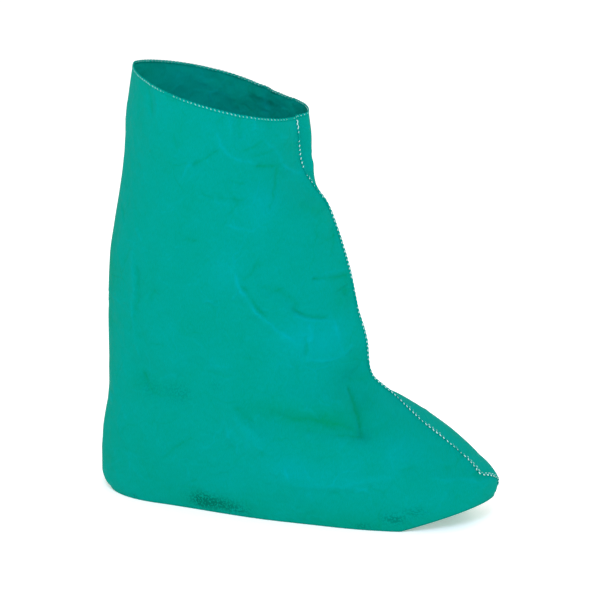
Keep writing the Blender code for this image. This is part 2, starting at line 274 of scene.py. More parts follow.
# %% Fine creases of the side that shows
# lift, left and right in mm; power 1 crisp, 2 soft; then the line's points (x, z)
RIGHT_CREASES = {
    "ankle tuck": (-2.8, 6, 2, 1.0, ((60, 137), (68, 124), (78, 111), (84, 99), (83, 92))),
    "tuck, cap": (-0.9, 5, 5, 2.0, ((62, 141), (78, 140))),
    "tuck, bulge": (1.0, 4, 3, 1.5, ((38, 132), (44, 125), (58, 122))),
    "instep trough": (-1.7, 7, 6, 2.0, ((5, 106), (22, 108), (40, 109), (62, 104), (81, 98))),
    "instep line": (-1.1, 3, 2.5, 1.0, ((58, 94), (84, 95))),
    "instep line, back": (-0.6, 4, 4, 2.0, ((22, 97), (58, 95))),
    "foot ridge": (1.5, 8, 8, 2.0, ((-48, 108), (-30, 90), (-10, 72))),
    "behind the foot ridge": (-0.9, 6, 4, 1.5, ((-46, 116), (-34, 106), (-24, 100))),
    "foot mark": (0.9, 2.5, 2.5, 1.0, ((9, 57), (13, 48))),
    "foot line": (0.7, 3, 3, 1.0, ((26, 93), (37, 83))),
    "side ridge": (1.1, 6, 5, 2.0, ((20, 42), (65, 46), (100, 54), (120, 58))),
    "toe line": (0.7, 3, 3, 1.0, ((150, 57), (188, 50), (202, 50))),
    "toe shade": (-0.9, 4, 3, 1.5, ((186, 56), (198, 54))),
    "heel arc": (-1.0, 2.5, 3, 1.0, ((-128, 49), (-108, 68), (-91, 79))),
    "heel hollow": (-1.5, 6, 4, 1.5, ((-151, 138), (-146, 126), (-138, 120), (-131, 116))),
    "heel hollow, foot": (-0.8, 5, 5, 2.0, ((-131, 116), (-98, 118))),
    "heel nick": (-0.7, 2.5, 2.5, 1.0, ((-140, 168), (-123, 171))),
    "back ridge": (1.1, 2.5, 7, 1.5, ((-158, 275), (-158, 225), (-158, 180), (-152, 145))),
    "back shade": (-0.9, 4, 2.5, 1.5, ((-153, 250), (-153, 205))),
    "shin ridge": (1.4, 2.5, 5, 1.0, ((-44, 258), (-41, 235), (-30, 218), (-9, 197), (13, 180))),
    "shin shade": (-1.0, 3, 2, 1.0, ((-38, 238), (-28, 222), (-16, 209))),
    "shin fold": (-1.4, 7, 6, 2.0, ((-25, 240), (-8, 237), (8, 226), (16, 216))),
    "shin fold, crisp": (-1.8, 5, 2, 1.0, ((8, 217), (24, 208), (42, 202))),
    "patch, top": (1.0, 3, 6, 1.5, ((-20, 219), (4, 215))),
    "patch, upper": (1.0, 2.5, 4, 1.0, ((8, 210), (28, 203), (44, 199))),
    "patch, fork": (1.0, 2.5, 2.5, 1.0, ((22, 200), (27, 192), (24, 182))),
    "patch, inner": (-1.2, 2.5, 2.5, 1.0, ((21, 188), (24, 168))),
    "patch, front": (1.3, 2.5, 6, 1.0, ((45, 197), (50, 180), (54, 165))),
    "patch, foot": (1.2, 6, 2.5, 1.0, ((22, 162), (40, 161), (54, 165))),
    "patch, wing": (0.8, 2.5, 3, 1.0, ((54, 166), (62, 177))),
    "front fold": (-1.6, 2.5, 4, 1.0, ((26, 245), (42, 243), (55, 243))),
    "front fold, crest": (0.9, 3, 3, 1.0, ((34, 250), (52, 249))),
    "front nick": (-1.4, 5, 5, 2.0, ((48, 232), (53, 224))),
    "hook": (0.8, 2.5, 2.5, 1.0, ((-81, 217), (-75, 222), (-66, 221))),
    "hook, line": (0.6, 2.5, 2.5, 1.0, ((-50, 224), (-43, 232))),
    "notch shade": (-1.2, 9, 9, 2.0, ((10, 318), (26, 308))),
    "notch light": (1.0, 3, 4, 1.0, ((-7, 357), (1, 346), (16, 335))),
    "calf line": (-0.9, 2.5, 3, 1.0, ((-62, 327), (-35, 326))),
    "calf light": (0.8, 3, 4, 1.0, ((-55, 299), (-25, 295))),
    "crook": (1.2, 4, 3, 1.0, ((-62, 395), (-57, 380), (-48, 366), (-28, 361))),
    "under the crook": (-1.3, 2.5, 3.5, 1.0, ((-28, 359), (-12, 356))),
    "gusset fall": (-0.9, 2.5, 2.5, 1.0, ((-12, 357), (-9, 344), (-13, 315))),
    "gusset line": (-1.0, 2.5, 3, 1.0, ((-40, 371), (-20, 382))),
    "gusset ridge": (1.0, 3, 3, 1.0, ((-18, 382), (-11, 370), (-8, 357))),
    "slant": (-1.1, 3, 4, 1.0, ((-85, 360), (-70, 368), (-60, 375))),
    "slant, low end": (0.9, 3, 4, 1.0, ((-105, 340), (-95, 350), (-85, 361))),
    "collar nick": (-1.1, 3, 3, 1.0, ((-62, 400), (-55, 408))),
    "gather 1": (-1.3, 5, 5, 2.0, ((-41, 408), (-40, 386))),
    "gather 2": (-1.2, 4, 4, 2.0, ((-16, 404), (-16, 392))),
    "gather ridge 1": (0.9, 4, 4, 1.5, ((-49, 406), (-47, 388))),
    "gather ridge 2": (1.0, 4, 4, 1.5, ((-28, 406), (-28, 392))),
    "back fold": (-1.2, 4, 4, 1.5, ((-137, 430), (-133, 414), (-130, 404))),
    "back fold, light": (0.8, 4, 4, 1.5, ((-125, 420), (-122, 404))),
}

# %% Fine creases of the other side
LEFT_CREASES = {
    "ankle tuck": (-2.8, 8, 5, 1.0, ((60, 150), (70, 125), (80, 105), (85, 90))),
    "instep trough": (-2.2, 9, 6, 2.0, ((-15, 110), (20, 115), (50, 110), (75, 100))),
    "foot ridge": (1.5, 7, 8, 1.5, ((-50, 115), (-30, 95), (-10, 65), (20, 45))),
    "side ridge": (1.2, 8, 9, 1.5, ((20, 40), (65, 50), (110, 60), (135, 60))),
    "heel hollow": (-1.3, 7, 5, 1.5, ((-150, 155), (-130, 140), (-100, 125))),
    "heel arc": (-0.7, 3, 4, 1.0, ((-120, 50), (-100, 70), (-75, 80))),
    "shin ridge": (1.2, 6, 9, 1.5, ((-60, 265), (-40, 240), (-10, 220), (20, 205))),
    "shin fold": (-1.4, 5, 4, 1.0, ((-5, 250), (15, 240), (40, 235))),
    "calf line": (-0.8, 4, 4, 1.0, ((-95, 300), (-65, 315), (-30, 315))),
    "slant": (-1.0, 5, 4, 1.0, ((-115, 350), (-90, 370), (-60, 380))),
    "crook": (1.2, 5, 4, 1.0, ((-60, 400), (-50, 375), (-25, 365), (0, 360))),
    "back ridge": (0.8, 8, 7, 2.0, ((-140, 435), (-150, 320), (-155, 230), (-155, 160))),
    "gather 1": (-1.1, 5, 5, 2.0, ((-65, 430), (-65, 400))),
    "gather 2": (-1.1, 5, 5, 2.0, ((-45, 425), (-45, 395))),
    "gather ridge": (0.8, 4, 4, 1.5, ((-55, 425), (-55, 390))),
}
CREASE_BLEND = 6.0
CREASE_ROUND = 0.6
DEEP_CREASE = 2.5
END_TAPER = 6.0
END_SHARE = 0.25
MARK_SHARE = 0.32
print("fine creases:", len(RIGHT_CREASES), "on the right,", len(LEFT_CREASES), "on the left")


# %% Distance to a bent line
def rounded(path):
    """Corner cutting, twice: each bend gives way to points a quarter of the way along the lines beside it."""
    points = np.array(path, dtype=float)
    for _ in range(2 if len(points) > 2 else 0):
        a, b = points[:-1], points[1:]
        cut = np.stack([0.75 * a + 0.25 * b, 0.25 * a + 0.75 * b], axis=1).reshape(-1, 2)
        points = np.concatenate([points[:1], cut, points[-1:]])
    return points


def blunt(away, radius):
    """Distance rounded off near 0: the root of its square plus the radius squared, less the radius."""
    return np.sqrt(away ** 2 + radius ** 2) - radius


def beside(points, path):
    """Distance to a line in side view, above 0 on its left, and the share of the way along it.

    For every piece of the line, the nearest place on it is the projection, held between its ends. The
    nearest piece wins, and the cross product of its run with the way to the point tells left from right.
    """
    away = np.full(points.shape[:-1], np.inf)
    left = np.ones(points.shape[:-1])
    share = np.zeros(points.shape[:-1])
    lengths = np.linalg.norm(np.diff(path, axis=0), axis=1)
    done = np.concatenate([[0.0], np.cumsum(lengths)])
    for start, end, length, before in zip(path[:-1], path[1:], lengths, done):
        run = end - start
        here = points[..., [0, 2]] - start
        t = np.clip(here @ run / length ** 2, 0.0, 1.0)
        gap = here - t[..., None] * run
        distance = np.hypot(gap[..., 0], gap[..., 1])
        nearer = distance < away
        away = np.where(nearer, distance, away)
        left = np.where(nearer, np.sign(run[0] * gap[..., 1] - run[1] * gap[..., 0]), left)
        share = np.where(nearer, (before + t * length) / done[-1], share)
    return away * left, share


# %% Uneven lines
WANDER, WANDER_SIZE = 0.9, 34.0
TREMBLE, TREMBLE_SIZE = 0.35, 11.0


def ripple(points, size, seed):
    """Slow random field in side view: eight sine waves of about one size, each with its own heading."""
    dice = np.random.default_rng(seed)
    heading, phase = dice.uniform(0.0, 2.0 * np.pi, (2, 8))
    wave = 2.0 * np.pi / (size * dice.uniform(0.7, 1.4, 8))
    along = points[..., 0, None] * np.cos(heading) + points[..., 2, None] * np.sin(heading)
    return np.sin(along * wave + phase).sum(axis=-1) / 2.0


def wandering(points):
    """Points moved by ripples of two sizes in X and Z, so that a line drawn to them is never straight."""
    moved = points.copy()
    for axis, seed in ((0, 31), (2, 33)):
        moved[..., axis] += (WANDER * ripple(points, WANDER_SIZE, seed)
                             + TREMBLE * ripple(points, TREMBLE_SIZE, seed + 1))
    return moved


# %% Small creases that fill the cloth
SMALL_CREASES = 200
SMALL_RUN = (9.0, 34.0)
SMALL_LIFT = (0.2, 0.6)
SMALL_REACH = (1.6, 4.5)


def small_creases(count, seed):
    """Short straight lines strewn over one side: place, heading, length, lift and reach from a fixed seed."""
    dice = np.random.default_rng(seed)
    start = dice.uniform((-205, 12), (200, 430), (count, 2))
    heading = dice.uniform(0.0, np.pi, count)
    run = dice.uniform(*SMALL_RUN, count)[:, None] * np.stack([np.cos(heading), np.sin(heading)], axis=1)
    lift = dice.uniform(*SMALL_LIFT, count) * dice.choice((-1.0, 1.0), count)
    reach = dice.uniform(*SMALL_REACH, (count, 2))
    return [(lift[k], *reach[k], 1.0, (start[k], start[k] + run[k])) for k in range(count)]


CREASES = (
    [(-1, row) for row in RIGHT_CREASES.values()]
    + [(1, row) for row in LEFT_CREASES.values()]
    + [(-1, row) for row in small_creases(SMALL_CREASES, 11)]
    + [(1, row) for row in small_creases(SMALL_CREASES, 12)]
)
print("creases in all:", len(CREASES))


# %% Lift of all folds and creases together
def fold_lift(points):
    """Sum of the broad folds: lift times a bell curve of the distance to the fold's line."""
    lift = np.zeros(points.shape[:-1])
    for side, x0, z0, x1, z1, reach, depth in FOLDS:
        away, _ = beside(points, np.array(((x0, z0), (x1, z1)), dtype=float))
        on_side = smooth(side * points[..., 1] / FOLD_BLEND)
        lift += depth * np.exp(-(away / reach) ** 2) * on_side
    return lift


def crease_lift(points):
    """Sum of the fine creases, and of marks along them for tinting, stronger on a deep or crisp crease.

    One crease is its lift times exp(-(distance / reach) ** power), where the distance is rounded off below
    a millimetre so that the cloth bends and doesn't break. Both ends taper off, and the light crisp creases
    come and go along their way with a ripple. The marks are painted highlight on crests and painted shade
    in hollows, laid into the cloth's colour.
    """
    lift = np.zeros(points.shape[:-1])
    mark = np.zeros(points.shape[:-1])
    seen = wandering(points)
    come_and_go = np.clip(0.9 + 0.3 * ripple(points, 26.0, 35), 0.4, 1.3)
    for side, (height, left, right, power, path) in CREASES:
        on_side = smooth(side * points[..., 1] / CREASE_BLEND)
        if not on_side.any():
            continue
        if abs(height) < DEEP_CREASE and power < 2.0:
            on_side = on_side * come_and_go
        away, share = beside(seen, rounded(path))
        reach = np.where(away > 0.0, left, right)
        soft = blunt(away, CREASE_ROUND)
        ends = smooth(END_TAPER * share + END_SHARE) * smooth(END_TAPER * (1.0 - share) + END_SHARE)
        lift += height * np.exp(-(soft / reach) ** power) * ends * on_side
        # painted light and shade: the mark lightens the colour along crests and darkens it along hollows
        near = np.exp(-(soft / (MARK_SHARE * reach)) ** power)
        mark += np.clip(height / (1.5 * power ** 1.5), -0.9, 1.2) * near * ends * on_side
    return lift, mark


# %% Cloth pinched up to the front seam
SEAM_FOOT = 14.0
SEAM_PINCH = 2.0
PINCH_REACH = 4.5
PINCH_ROUND = 0.5
SEAM_FADE = 45.0


def pinch_lift(plain, height):
    """The cloth rises to the seam: a crest that dies away with the distance to the seam at one height."""
    seam = form(height, seam_angle(height))
    soft = blunt(np.linalg.norm(plain - seam, axis=-1), PINCH_ROUND)
    return SEAM_PINCH * np.exp(-soft / PINCH_REACH) * smooth((height - SEAM_FOOT) / SEAM_FADE)


def cloth(height, angle):
    """Outer face of the worn cloth and its marks: the form, moved outwards by pinch, folds and creases."""
    plain = form(height, angle)
    lift, mark = crease_lift(plain)
    lift = lift + fold_lift(plain) + pinch_lift(plain, height)
    return plain + outward(form, height, angle) * lift[..., None], mark


# %% [markdown]
# ## From arrays to pieces
#
# A grid of points becomes a mesh with one face between each four neighbours. The corners of all faces are
# worked out at once, as an array of point numbers, and so are the UV places of every corner. Each piece
# then takes the place of its solid and rides on the one body.

# %% Grids and pieces
def grid_faces(rows, columns, round_rows, round_columns):
    """Corner numbers of all quads of a grid, and the row and column of each corner before it wraps round."""
    i, j = np.meshgrid(
        np.arange(rows if round_rows else rows - 1),
        np.arange(columns if round_columns else columns - 1),
        indexing="ij",
    )
    row = np.stack([i, i, i + 1, i + 1], axis=-1).reshape(-1, 4)
    column = np.stack([j, j + 1, j + 1, j], axis=-1).reshape(-1, 4)
    return (row % rows) * columns + column % columns, row, column


def make_piece(name, points, faces, uv, node, marks=None):
    """Smooth mesh object from points and UV in millimetres. It stands for a solid and rides on the body."""
    mesh = bpy.data.meshes.new(name)
    mesh.from_pydata((points * MM).tolist(), [], faces)
    mesh.polygons.foreach_set("use_smooth", np.ones(len(faces), dtype=bool))
    layer = mesh.uv_layers.new(name="measure")
    layer.data.foreach_set("uv", (uv.reshape(-1, 2) * MM).astype(np.float32).ravel())
    for label, values in (marks or {}).items():
        mark = mesh.attributes.new(label, "FLOAT", "POINT")
        mark.data.foreach_set("value", values.astype(np.float32).ravel())
    mesh.update()
    piece = bpy.data.objects.new(name, mesh)
    bpy.context.scene.collection.objects.link(piece)
    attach(piece, "root")
    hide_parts(node)
    print(name, "has", len(points), "points and", sum(len(face) - 2 for face in faces), "triangles")
    return piece


# %% Closed tips
def merge_tips(piece):
    """Merge points that lie together, such as a ring shrunk to nothing, and turn all faces outwards."""
    tidy = bmesh.new()
    tidy.from_mesh(piece.data)
    bmesh.ops.remove_doubles(tidy, verts=tidy.verts, dist=0.005 * MM)
    bmesh.ops.recalc_face_normals(tidy, faces=tidy.faces)
    tidy.to_mesh(piece.data)
    tidy.free()
    print(piece.name, "after merging:", len(piece.data.vertices), "points")


# %% [markdown]
# ## The upper
#
# Two panels of cloth, right and left, open at the collar and underneath. Each is a grid of rows up the cover
# and columns round it, from the back fold to the front seam. Even steps of the angle would crowd at heel and
# toe, so a sine of twice the angle moves columns to the long sides. A ring of one row runs along the outside
# and back along the inside, at least one cloth thickness further in. The inside has an eighth of the columns,
# because it is seen only through the collar, so it keeps clear of the deepest crease around each of its
# points. Normals are set from the formula, so that the panels meet at the back fold with no visible join.
#
# The UV map measures cloth: round the cover from the back fold, and up from the floor, as a flat panel would
# be measured. Three more numbers at each point colour the cloth with painted light and shade. Fold gives
# crests of creases a painted highlight and their hollows a painted shade. Speckled painted shade lies at a
# few places low on the side, where the cloth turns under towards the floor, and in the heel hollow. Broad
# patches are painted paler on raised places, and painted deeper in the hollows, along the floor and down the
# back fold.

# %% Painted shade and light
# x, z: middle; long, tall: reach along and up; strength
# Speckled painted shade low on the side, where the cloth turns under to the floor, and in the heel hollow.
SPECKLED_SHADE_SPOTS = (
    (-84, 12, 13, 9, 1.00),
    (-62, 11, 20, 8, 0.90),
    (-40, 7, 12, 5, 0.55),
    (88, 4, 10, 4, 0.60),
    (118, 14, 12, 6, 0.70),
    (140, 22, 12, 5, 0.45),
    (-160, 4, 4, 3, 0.60),
    (-130, 3, 6, 3, 0.30),
    (-140, 122, 12, 10, 0.25),
    (-108, 122, 14, 10, 0.35),
    (-67, 133, 8, 5, 0.20),
)
# Painted light and shade: raised places made paler; hollows, the floor's edge and the back fold made deeper.
PAINTED_LIGHT_AND_SHADE = (
    (30, 183, 34, 22, 0.36),
    (-55, 255, 15, 20, 0.20),
    (-20, 318, 14, 18, 0.22),
    (-125, 410, 20, 25, 0.09),
    (20, 312, 14, 13, -0.05),
    (52, 230, 10, 20, -0.20),
    (62, 175, 8, 25, -0.10),
    (72, 140, 12, 6, -0.08),
    (80, 118, 10, 14, -0.06),
    (48, 105, 30, 10, -0.30),
    (0, 112, 45, 12, -0.20),
    (-145, 125, 20, 12, -0.15),
    (80, 5, 80, 15, -0.20),
    (-70, 10, 40, 12, -0.20),
    (-25, 85, 16, 14, 0.14),
    (20, 55, 45, 16, 0.20),
    (85, 50, 30, 10, 0.14),
    (120, 78, 16, 14, 0.20),
    (-195, 230, 15, 180, -0.12),
    (-175, 30, 40, 20, -0.08),
)


def patches(points, rows):
    """Sum of soft patches: strength times a bell curve, with its own reach along the cover and up it."""
    amount = np.zeros(points.shape[:-1])
    for x, z, long, tall, strength in rows:
        amount += strength * np.exp(-((points[..., 0] - x) / long) ** 2 - ((points[..., 2] - z) / tall) ** 2)
    return amount


def speckled_shade(points):
    """Patches of speckled painted shade, on the wearer's right side alone."""
    return patches(points, SPECKLED_SHADE_SPOTS) * smooth(-points[..., 1] / CREASE_BLEND)


# %% Panels of the upper
PANEL_ROWS = 370
PANEL_COLUMNS = 225
INNER_STEP = 8
INNER_ROWS = 3
COLUMN_CROWD = 0.2
ROW_CROWD = 1.06


def lowest_around(values, rows, columns):
    """Least value within so many rows and columns of each point: the least of copies shifted either way."""
    for axis, reach in ((0, rows), (1, columns)):
        wide = np.pad(values, [(reach, reach) if k == axis else (0, 0) for k in range(2)], mode="edge")
        count = values.shape[axis]
        values = np.min([wide.take(np.arange(s, s + count), axis) for s in range(2 * reach + 1)], axis=0)
    return values


def panel_grid(first_turn):
    """Outer face of one panel, its outward directions, its crease marks and its inner face, rows by columns.

    One column more at either side lets the directions at the panel's edges know the cloth beyond them.
    """
    step = np.pi / (PANEL_COLUMNS - 1)
    turn = first_turn + step * np.arange(-1, PANEL_COLUMNS + 1)
    rows = COLLAR_HEIGHT * np.linspace(0.0, 1.0, PANEL_ROWS) ** ROW_CROWD
    height, angle = np.meshgrid(rows, turn + COLUMN_CROWD * np.sin(2.0 * turn), indexing="ij")
    outer, mark = cloth(height, angle)
    out = unit(np.cross(np.gradient(outer, axis=1), np.gradient(outer, axis=0)))
    plain, plain_out = form(height, angle), outward(form, height, angle)
    deep = lowest_around(np.sum((outer - plain) * plain_out, axis=-1), INNER_ROWS, INNER_STEP)
    inner = plain + plain_out * (deep - CLOTH)[..., None]
    return outer[:, 1:-1], out[:, 1:-1], mark[:, 1:-1], inner[:, 1:-1]


def make_panel(name, outer, out, mark, inner, fold_column):
    """Closed wall of one panel: every ring runs along the outer face and back along the inner one."""
    pick = np.arange(PANEL_COLUMNS)[::-INNER_STEP]
    inner = inner[:, pick]
    inner[[0, -1]] = outer[[0, -1]][:, pick] - CLOTH * out[[0, -1]][:, pick]
    inner[[0, -1], :, 2] = outer[[0, -1]][:, pick, 2]
    around = np.cumsum(np.linalg.norm(np.diff(outer, axis=1, prepend=outer[:, :1]), axis=2), axis=1)
    flat = np.stack([around - around[:, fold_column, None], outer[..., 2]], axis=-1)
    ring = PANEL_COLUMNS + len(pick)
    quads, _, _ = grid_faces(PANEL_ROWS, ring, False, True)
    first = np.arange(0, PANEL_COLUMNS - 1, INNER_STEP)[:, None]
    back = ring - 1 - first // INNER_STEP
    rim = np.concatenate([first + np.arange(INNER_STEP + 1), back - 1, back], axis=1)
    top = rim + (PANEL_ROWS - 1) * ring
    flat = np.concatenate([flat, flat[:, pick]], axis=1).reshape(-1, 2)
    faces = quads.tolist() + rim[:, ::-1].tolist() + top.tolist()
    uv = np.concatenate([flat[quads.ravel()], flat[rim[:, ::-1].ravel()], flat[top.ravel()]])
    wall = np.concatenate([outer, inner], axis=1)
    marks = {
        # painted highlight on the crests of creases and painted shade in their hollows
        "fold": np.concatenate([mark, mark[:, pick]], axis=1),
        # painted light on raised places, painted shade in hollows, along the floor and down the back fold
        "painted_light_and_shade": patches(wall, PAINTED_LIGHT_AND_SHADE),
        # speckled painted shade low on the side and in the heel hollow
        "speckled_shade": speckled_shade(wall),
    }
    panel = make_piece(name, wall.reshape(-1, 3), faces, uv, "upper", marks)
    facing = np.concatenate([out, -out[:, pick]], axis=1).reshape(-1, 3)
    panel.data.normals_split_custom_set_from_vertices(facing.tolist())
    area = sum(face.area for face in panel.data.polygons) / 2.0
    print(name, "takes", round(area, 3), "square metres of cloth")
    return panel


left, right = panel_grid(0.0), panel_grid(np.pi)
left_panel = make_panel("upper_left_panel", *left, fold_column=-1)
right_panel = make_panel("upper_right_panel", *right, fold_column=0)

# %% [markdown]
# ## The sole
#
# A panel of the same cloth, cut to the plan of the foot: flat up to the ball, with a toe that lifts off the
# floor. It is a thin section like a rounded box, carried from the toe's tip to the heel's. It is as wide as
# the plan is there, and shrinks to a point at both tips, where the points are merged so that no hole is left.

# %% Sole
SOLE_STATIONS = 180
SOLE_RING = 44
along = np.linspace(0.0, np.pi, SOLE_STATIONS)
plan = form(np.zeros(SOLE_STATIONS), along)
ring = np.linspace(0.0, 2.0 * np.pi, SOLE_RING, endpoint=False)
across = np.sign(np.cos(ring)) * np.abs(np.cos(ring)) ** 0.6
rise = np.sign(np.sin(ring)) * np.abs(np.sin(ring)) ** 0.25
sole_points = np.stack(np.broadcast_arrays(
    plan[:, None, 0],
    plan[:, None, 1] * across,
    sole_line(plan[:, None, 0]) + (SOLE_THICK + GAP) * (0.5 + 0.5 * rise),
), axis=-1)
faces, row, column = grid_faces(SOLE_STATIONS, SOLE_RING, False, True)
sole_uv = sole_points[row, column % SOLE_RING][..., :2]
sole = make_piece("sole_panel", sole_points.reshape(-1, 3), faces.tolist(), sole_uv, "sole")
merge_tips(sole)

# %% [markdown]
# ## Sewn edges
#
# Two edges of the cover are overlocked: the front seam, where both panels stand out as a narrow fin, and the
# collar. An edge is a line on the cloth with two directions at every place, across the fin and out along it.
# They are kept together with the length so far, so that one function makes both fins and another makes both
# threads.

# %% The line of an edge
def edge_line(centre, across, out, closed):
    """Line of a sewn edge with its length so far, its across and its out directions, made square to it."""
    ahead = np.gradient(centre, axis=0)
    if closed:
        ahead[0] = ahead[-1] = centre[1] - centre[-2]
    ahead = unit(ahead)
    across = unit(across - ahead * np.sum(across * ahead, axis=1, keepdims=True))
    out = out - ahead * np.sum(out * ahead, axis=1, keepdims=True)
    out = unit(out - across * np.sum(out * across, axis=1, keepdims=True))
    return {"length": length_along(centre), "centre": centre, "across": across, "out": out, "closed": closed}


def on_edge(edge, length, side, reach):
    """Points beside an edge: the line at a length, moved sideways across the fin and outwards along it."""
    def at(name):
        return np.stack([np.interp(length, edge["length"], edge[name][:, k]) for k in range(3)], axis=-1)
    return at("centre") + side[..., None] * at("across") + reach[..., None] * at("out")


def even_steps(points, count):
    """Places along a list of points, as fractions of its numbering, at even steps of its length."""
    length = length_along(points)
    return np.interp(np.linspace(0.0, length[-1], count), length, np.arange(len(points)))


# %% Where the front seam and the collar run
SEAM_NUDGE = np.radians(1.5)
SEAM_PROBES = 1200
SEAM_POINTS = 700
seam_rows = np.linspace(SEAM_FOOT, COLLAR_HEIGHT - 1.0, SEAM_PROBES)
seam_turn = seam_angle(seam_rows)
steps = even_steps(form(seam_rows, seam_turn), SEAM_POINTS)
seam_rows = np.interp(steps, np.arange(SEAM_PROBES), seam_rows)
seam_turn = np.interp(steps, np.arange(SEAM_PROBES), seam_turn)
front_edge = edge_line(
    cloth(seam_rows, seam_turn)[0],
    form(seam_rows, seam_turn + SEAM_NUDGE) - form(seam_rows, seam_turn - SEAM_NUDGE),
    outward(form, seam_rows, seam_turn),
    closed=False,
)
rim, rim_out = (np.concatenate([left[k][-1], right[k][-1, 1:]]) for k in (0, 1))
rim_up = rim - np.concatenate([left[0][-3], right[0][-3, 1:]])
collar_edge = edge_line(rim - 0.5 * CLOTH * rim_out, rim_out, rim_up, closed=True)
print("front seam in mm:", round(front_edge["length"][-1]))
print("collar in mm:", round(collar_edge["length"][-1]))

# %% [markdown]
# ## Fins of the sewn edges
#
# A fin is two layers of cloth with a rounded tip. Each stitch pulls the tip down where the thread goes over,
# so the edge is scalloped, and it sways a little from side to side as cloth does when it is fed by hand. The
# fin is a profile carried along the edge, whose height changes with the length. The ends of the front fin
# shrink to a point and are merged.

# %% Fins
FIN_SIDE = np.array((-1.0, -0.97, -0.92, -0.8, -0.4, 0.4, 0.8, 0.92, 0.97, 1.0))
FIN_RISE = np.array((-0.12, 0.2, 0.55, 0.85, 1.0, 1.0, 0.85, 0.55, 0.2, -0.12))
FIN_STEPS = 10
FIN_TAPER = 14.0
SCALLOP = 0.3


def stitch_length(edge, wanted):
    """The wanted stitch, changed a little so that a whole number of stitches fits the edge."""
    return edge["length"][-1] / round(edge["length"][-1] / wanted)


def sway(length, amount):
    """Slow waves to the side: two sines that never meet in step."""
    return amount * (0.6 * np.sin(length / 11.0) + 0.4 * np.sin(length / 4.7 + 1.3))


def make_fin(name, edge, tall, thick, stitch, lean, node):
    """Profile of a fin carried along an edge. Its tip is lower under each stitch, and leans by sway."""
    count = round(edge["length"][-1] / stitch) * FIN_STEPS
    length = np.linspace(0.0, edge["length"][-1], count, endpoint=not edge["closed"])
    ends = np.ones(count)
    if not edge["closed"]:
        ends = np.sqrt(np.clip(np.minimum(length, length[-1] - length) / FIN_TAPER, 0.0, 1.0))
    scallop = tall * ends * (1.0 - SCALLOP * np.cos(np.pi * length / stitch) ** 8)
    rise = scallop[:, None] * FIN_RISE
    side = ends[:, None] * thick * FIN_SIDE + sway(length, lean)[:, None] * np.clip(FIN_RISE, 0.0, 1.0)
    points = on_edge(edge, np.broadcast_to(length[:, None], rise.shape), side, rise)
    faces, row, column = grid_faces(count, len(FIN_SIDE), edge["closed"], True)
    uv = np.stack([length[row % count], 1.2 * column], axis=-1)
    return make_piece(name, points.reshape(-1, 3), faces[:, ::-1].tolist(), uv[:, ::-1], node)


SEAM_TALL, SEAM_THICK = 1.7, 0.8
COLLAR_TALL, COLLAR_THICK = 2.8, 0.7
SEAM_STITCH = stitch_length(front_edge, 4.5)
COLLAR_STITCH = stitch_length(collar_edge, 4.0)
seam_fin = make_fin("front_seam_fin", front_edge, SEAM_TALL, SEAM_THICK, SEAM_STITCH,
                    lean=0.3, node="front_seam")
merge_tips(seam_fin)
collar_fin = make_fin("collar_fin", collar_edge, COLLAR_TALL, COLLAR_THICK, COLLAR_STITCH,
                      lean=0.15, node="collar_edge")

# %% [markdown]
# ## Overlock thread
#
# An overlock machine winds a thread round the edge of the cloth. It shows as a row of short leaning ticks on
# both faces of the fin, because between them it bites into the soft cloth. The thread is a helix on a rounded
# box: once round the fin for each stitch, under the cloth at the bottom and at the tip. Small changes
# from stitch to stitch, from a fixed seed, keep it from looking like a spring, and let some ticks nearly
# sink. Each thread is a six-sided tube.

# %% Thread as a tube
THREAD_SIDES = 6


def make_thread(name, path, spoke, radius, node):
    """Tube along a path: a ring of sides square to the path, turned so that the first faces the spoke."""
    ahead = unit(np.gradient(path, axis=0))
    first = unit(spoke - ahead * np.sum(spoke * ahead, axis=1, keepdims=True))
    second = np.cross(ahead, first)
    turn = np.linspace(0.0, 2.0 * np.pi, THREAD_SIDES, endpoint=False)
    ends = np.ones(len(path))
    ends[[0, -1]] = 0.0
    ring = np.cos(turn)[:, None] * first[:, None] + np.sin(turn)[:, None] * second[:, None]
    points = path[:, None] + radius * ends[:, None, None] * ring
    faces, row, column = grid_faces(len(path), THREAD_SIDES, False, True)
    uv = np.stack([length_along(path)[row], column * radius], axis=-1)
    faces = faces[:, ::-1].tolist()
    piece = make_piece(name, points.reshape(-1, 3), faces, uv[:, ::-1], node)
    merge_tips(piece)
    return piece


# %% Winding thread
LOOP_STEPS = 18
LOOP_MIDDLE, LOOP_SWING = 0.45, 0.2
LEG_FROM, LEG_OVER = 0.30, 0.15


def boxed(wave, power):
    """A sine or cosine with its top and bottom made flatter, so that a circle becomes a rounded box."""
    return np.sign(wave) * np.abs(wave) ** power


def wind_thread(name, edge, tall, thick, stitch, radius, proud, seed, node):
    """Helix round a fin: sideways a boxed sine, outwards a boxed cosine, one turn for each stitch.

    The thread stands proud of the cloth by one share of its radius up to a third of the way, then by another.
    """
    count = round(edge["length"][-1] / stitch)
    turn = np.arange(count * LOOP_STEPS + 1) / LOOP_STEPS
    dice = np.random.default_rng(seed)
    uneven = [np.interp(turn, np.arange(count + 1), dice.normal(0.0, 1.0, count + 1)) for _ in range(2)]
    length = np.clip((turn + 0.07 * uneven[0]) * stitch, 0.0, edge["length"][-1])
    rise = tall * (LOOP_MIDDLE - LOOP_SWING * boxed(np.cos(2.0 * np.pi * turn), 0.75)) + 0.1 * uneven[1]
    change = smooth((turn / count - LEG_FROM) / LEG_OVER)
    out = proud[0] + (proud[1] - proud[0]) * change + 0.5 * uneven[1] + sway(0.7 * length, 0.7)
    side = -(thick + radius * out) * boxed(np.sin(2.0 * np.pi * turn), 0.6)
    path = on_edge(edge, length, side, rise)
    middle = on_edge(edge, length, np.zeros(len(turn)), np.full(len(turn), 0.55 * tall))
    return make_thread(name, path, path - middle, radius, node)


